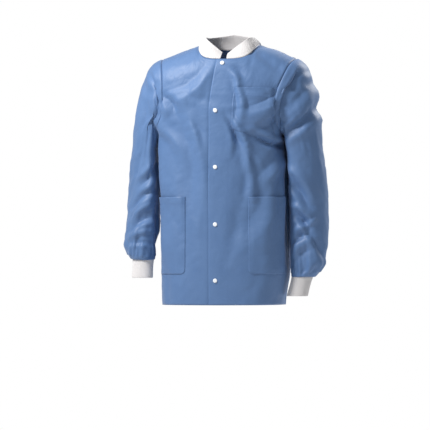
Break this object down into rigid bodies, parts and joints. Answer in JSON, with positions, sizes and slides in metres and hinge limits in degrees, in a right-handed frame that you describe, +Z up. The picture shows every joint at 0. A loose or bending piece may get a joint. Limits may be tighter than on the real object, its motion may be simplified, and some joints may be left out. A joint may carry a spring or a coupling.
{
  "type": "lab coat",
  "caption": "Hip-length disposable lab jacket of blue nonwoven fabric with a white rib-knit collar and cuffs, a press-snap front, a chest pocket and hip pockets.",
  "frame": {"origin": "midway between the two high shoulder points of the neckline, where the wearer's shoulders carry the coat", "axes": "+Z up, the coat faces -Y, +X towards the wearer's left"},
  "size_m": [0.6062, 0.2756, 0.7849],
  "materials": {
    "nonwoven": "soft sheen",
    "rib_knit": "matte",
    "snap_plastic": "satin"
  },
  "bodies": {
    "torso": {"back_panel": "nonwoven", "front_panel_left": "nonwoven", "front_panel_right": "nonwoven", "collar": "rib_knit", "chest_pocket": "nonwoven", "hip_pocket_left": "nonwoven", "hip_pocket_right": "nonwoven"},
    "left_front_edge": {"placket_left": "nonwoven", "snap_cap_1": "snap_plastic", "snap_cap_2": "snap_plastic", "snap_cap_3": "snap_plastic", "snap_cap_4": "snap_plastic", "snap_cap_5": "snap_plastic", "snap_socket_1": "snap_plastic", "snap_socket_2": "snap_plastic", "snap_socket_3": "snap_plastic", "snap_socket_4": "snap_plastic", "snap_socket_5": "snap_plastic"},
    "right_front_edge": {"placket_right": "nonwoven", "snap_stud_1": "snap_plastic", "snap_stud_2": "snap_plastic", "snap_stud_3": "snap_plastic", "snap_stud_4": "snap_plastic", "snap_stud_5": "snap_plastic", "snap_post_1": "snap_plastic", "snap_post_2": "snap_plastic", "snap_post_3": "snap_plastic", "snap_post_4": "snap_plastic", "snap_post_5": "snap_plastic"},
    "left_sleeve": {"sleeve_left": "nonwoven", "cuff_left": "rib_knit"},
    "right_sleeve": {"sleeve_right": "nonwoven", "cuff_right": "rib_knit"}
  },
  "joints": [
    {"name": "left_front_open", "type": "hinge", "parent": "torso", "child": "left_front_edge", "pos_m": [0.02026, -0.1405, -0.757], "axis": [0.0247, 0, 0.9997], "range_deg": [0, 90]},
    {"name": "right_front_open", "type": "hinge", "parent": "torso", "child": "right_front_edge", "pos_m": [-0.03604, -0.14164, -0.757], "axis": [-0.0247, 0, -0.9997], "range_deg": [0, 27]},
    {"name": "left_sleeve_swing", "type": "hinge", "parent": "torso", "child": "left_sleeve", "pos_m": [0.19559, 0, -0.03114], "axis": [0, -1, 0], "range_deg": [0, 42]},
    {"name": "right_sleeve_swing", "type": "hinge", "parent": "torso", "child": "right_sleeve", "pos_m": [-0.20041, 0, -0.03114], "axis": [0, 1, 0], "range_deg": [0, 42]}
  ],
  "couplings": [
    {"joint": "right_front_open", "follows": "left_front_open", "ratio": 0.3}
  ]
}
